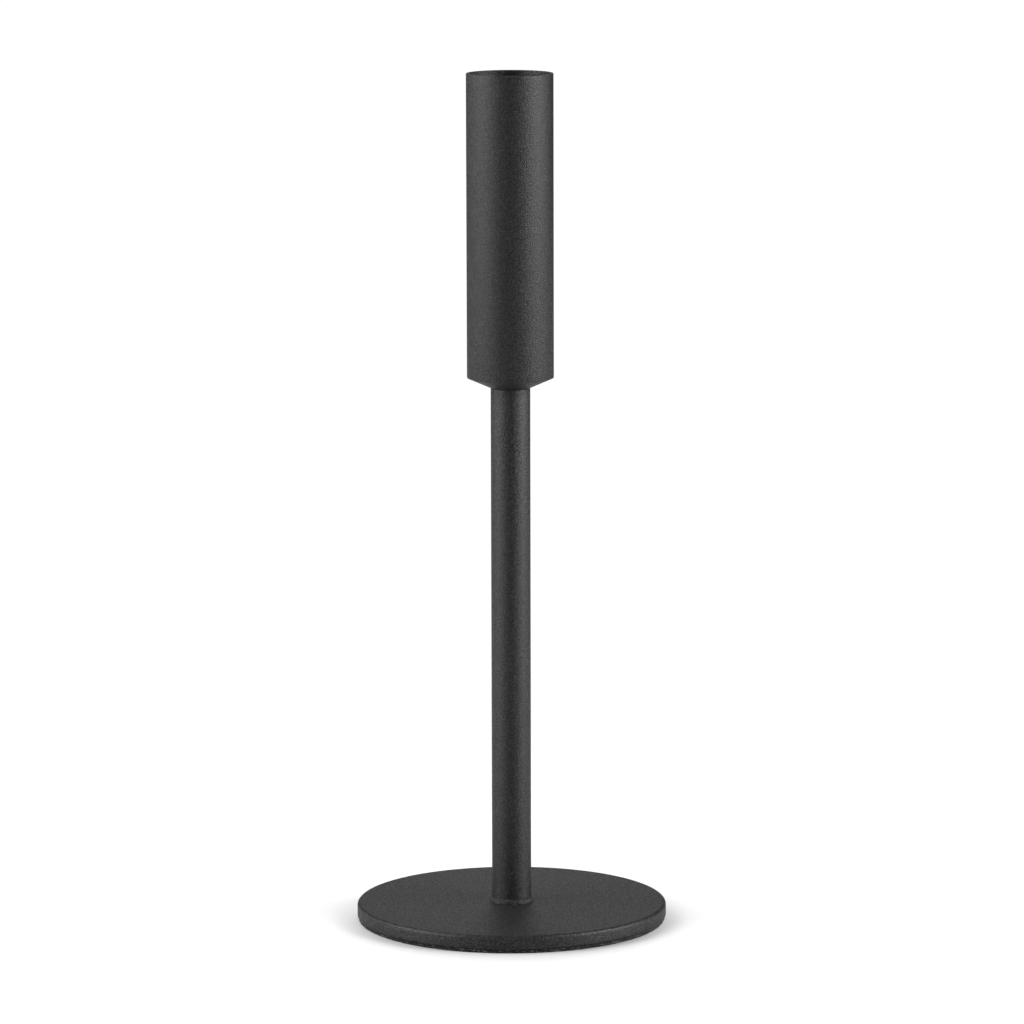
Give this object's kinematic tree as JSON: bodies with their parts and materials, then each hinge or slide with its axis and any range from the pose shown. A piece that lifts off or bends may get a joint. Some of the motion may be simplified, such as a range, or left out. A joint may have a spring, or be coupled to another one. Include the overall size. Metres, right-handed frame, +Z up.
{
  "type": "taper candle holder",
  "caption": "Tall slim holder for a taper candle: tubular cup with a coned underside on a thin stem, and a round felt-backed foot plate, all in matt black powder coat.",
  "frame": {"origin": "middle of the felt pad's underside, on the surface that the holder stands on", "axes": "+Z up the common axis of foot plate, stem and cup, towards the candle; X and Y are alike, because the holder is round"},
  "size_m": [0.09, 0.09, 0.2464],
  "materials": {
    "black_powder_coat": "matte",
    "zinc_plated_steel": "satin",
    "turned_steel": "satin",
    "felt": "matte",
    "adhesive_film": "satin"
  },
  "bodies": {
    "root": {"base_pad": "felt", "pad_adhesive": "adhesive_film", "base_plate": "black_powder_coat", "stem_foot_plug": "turned_steel", "foot_weld_bead": "black_powder_coat", "stem_tube": "black_powder_coat", "stem_head_insert": "turned_steel", "cup_cone_plug": "black_powder_coat", "lock_washer": "zinc_plated_steel", "cup_screw": "zinc_plated_steel", "cup_tube": "black_powder_coat", "candle_stop": "black_powder_coat"}
  },
  "joints": []
}
